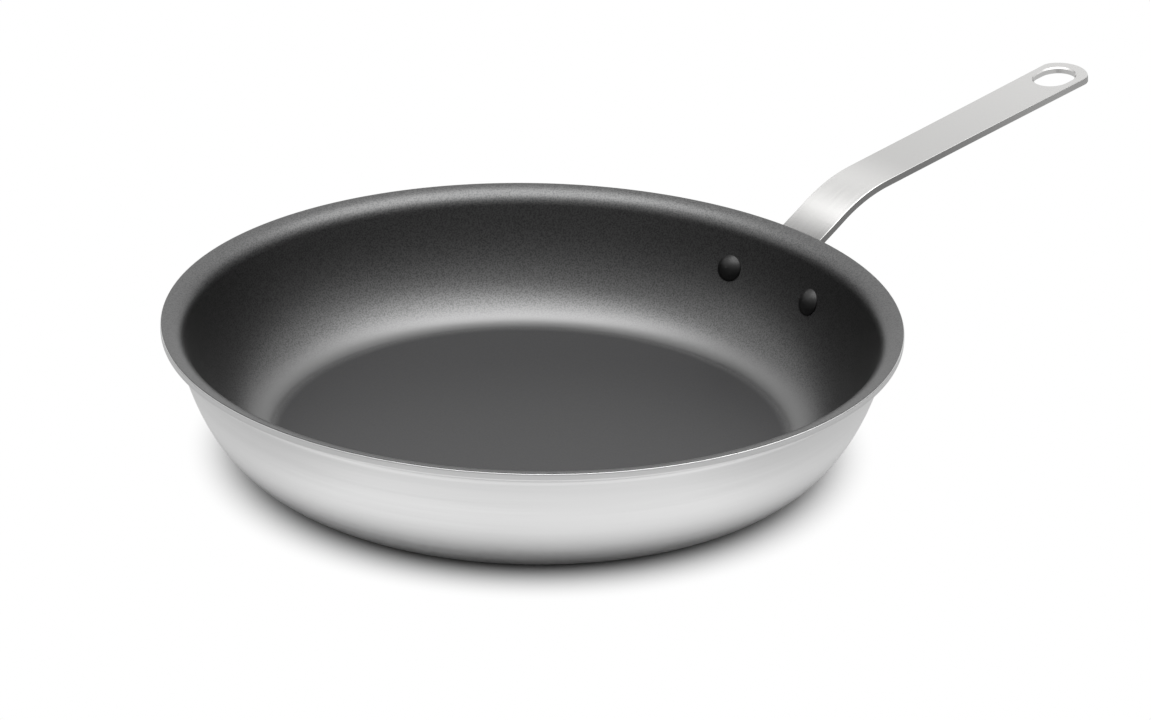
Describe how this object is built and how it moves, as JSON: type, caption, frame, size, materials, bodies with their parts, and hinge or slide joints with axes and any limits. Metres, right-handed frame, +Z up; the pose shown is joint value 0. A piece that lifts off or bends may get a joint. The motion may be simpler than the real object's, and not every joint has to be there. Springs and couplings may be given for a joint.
{
  "type": "omelette pan",
  "caption": "Round open pan with curved walls, a flared lip, a dark non-stick inside and a long riveted flat-bar handle with a hanging eye.",
  "frame": {"origin": "centre of the underside of the base, where the pan rests", "axes": "+Z up along the pan's axis, +X along the handle from the pan to the tip"},
  "size_m": [0.4898, 0.306, 0.0979],
  "materials": {
    "shell_aluminium": "satin, spun in rings",
    "nonstick_film": "sprayed, matt with a fine speckle",
    "handle_steel": "brushed along its length",
    "rivet_aluminium": "satin"
  },
  "bodies": {
    "root": {"pan_body": "shell_aluminium", "nonstick_coating": "nonstick_film", "handle": "handle_steel", "rivet_left": "rivet_aluminium", "rivet_right": "rivet_aluminium", "rivet_coating_left": "nonstick_film", "rivet_coating_right": "nonstick_film"}
  },
  "joints": []
}
